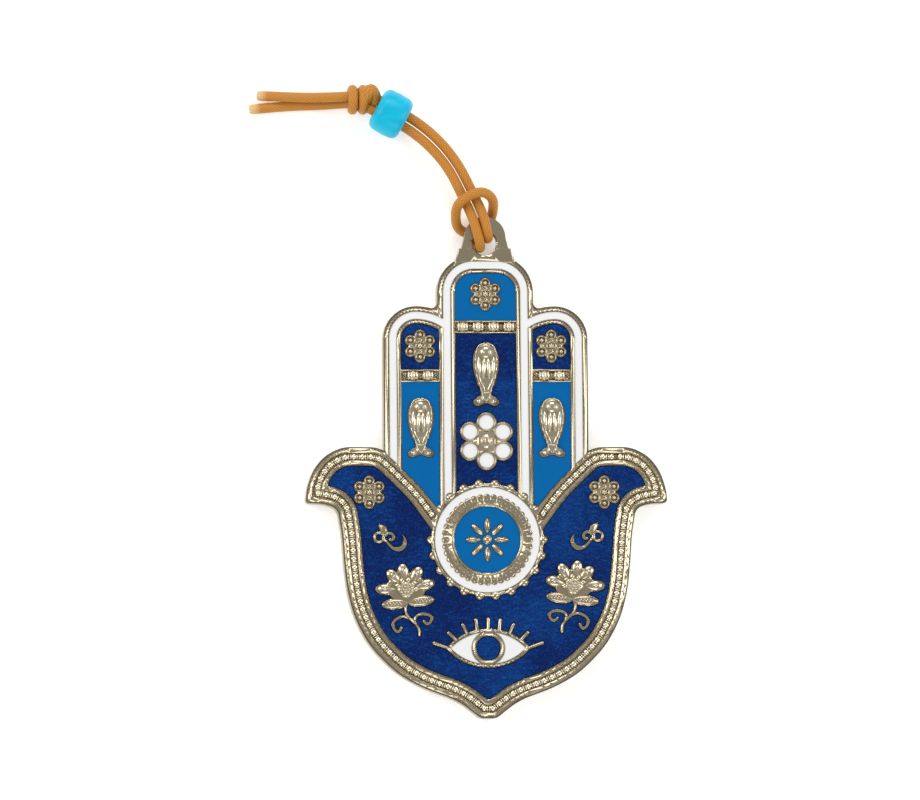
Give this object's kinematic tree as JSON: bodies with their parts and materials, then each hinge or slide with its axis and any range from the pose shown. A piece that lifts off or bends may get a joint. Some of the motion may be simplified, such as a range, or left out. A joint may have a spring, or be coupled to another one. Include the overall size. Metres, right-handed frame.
{
  "type": "hamsa hand ornament",
  "caption": "Flat enamelled metal hamsa hand with a beaded border, eyelet on the middle finger, and a knotted hanging cord that passes through a glass bead.",
  "frame": {"origin": "middle of the hand's back face, under the centre of the box round the hand without its cord, where it lies on a surface", "axes": "+Z out of the enamelled front face, +Y along the fingers towards the eyelet, +X to the right seen from the front"},
  "size_m": [0.0829, 0.1269, 0.009],
  "materials": {
    "casting_metal": "nickel-plated zinc alloy casting, bright on the raised edges and darker in the recesses",
    "light_blue_enamel": "opaque light blue soft enamel, glossy, a little lower than the metal round it",
    "dark_blue_enamel": "dark blue translucent enamel with a streaky metallic shimmer, glossy",
    "white_enamel": "opaque white enamel, glossy",
    "cord": "orange-tan waxed braided cotton cord",
    "bead_glass": "opaque turquoise glass, glossy, with rounded rims"
  },
  "bodies": {
    "hand": {"hand_casting": "casting_metal", "enamel_white_finger_border": "white_enamel", "enamel_middle_top_panel": "light_blue_enamel", "enamel_middle_long_panel": "dark_blue_enamel", "enamel_left_top_panel": "dark_blue_enamel", "enamel_right_top_panel": "dark_blue_enamel", "enamel_left_lower_panel": "light_blue_enamel", "enamel_right_lower_panel": "light_blue_enamel", "enamel_palm": "dark_blue_enamel", "enamel_white_ring": "white_enamel", "enamel_centre_disc": "light_blue_enamel", "enamel_eye_white_left": "white_enamel", "enamel_eye_white_right": "white_enamel", "enamel_iris": "dark_blue_enamel", "enamel_flower_dots": "white_enamel"},
    "cord": {"cord_tail_lower": "cord", "cord_leg_inner": "cord", "cord_hitch": "cord", "cord_leg_outer": "cord", "cord_tail_upper": "cord", "cord_knot": "cord"},
    "bead": {"bead": "bead_glass"}
  },
  "joints": [
    {"name": "cord_swivel", "type": "hinge", "parent": "hand", "child": "cord", "pos_m": [0, 0.04483, 0.0032], "axis": [0, 0, 1], "range_deg": [-60, 30]},
    {"name": "bead_slide", "type": "hinge", "parent": "cord", "child": "bead", "pos_m": [-0.0312, 0.04393, 0.0045], "axis": [0, 0, -1], "range_deg": [0, 22]}
  ]
}
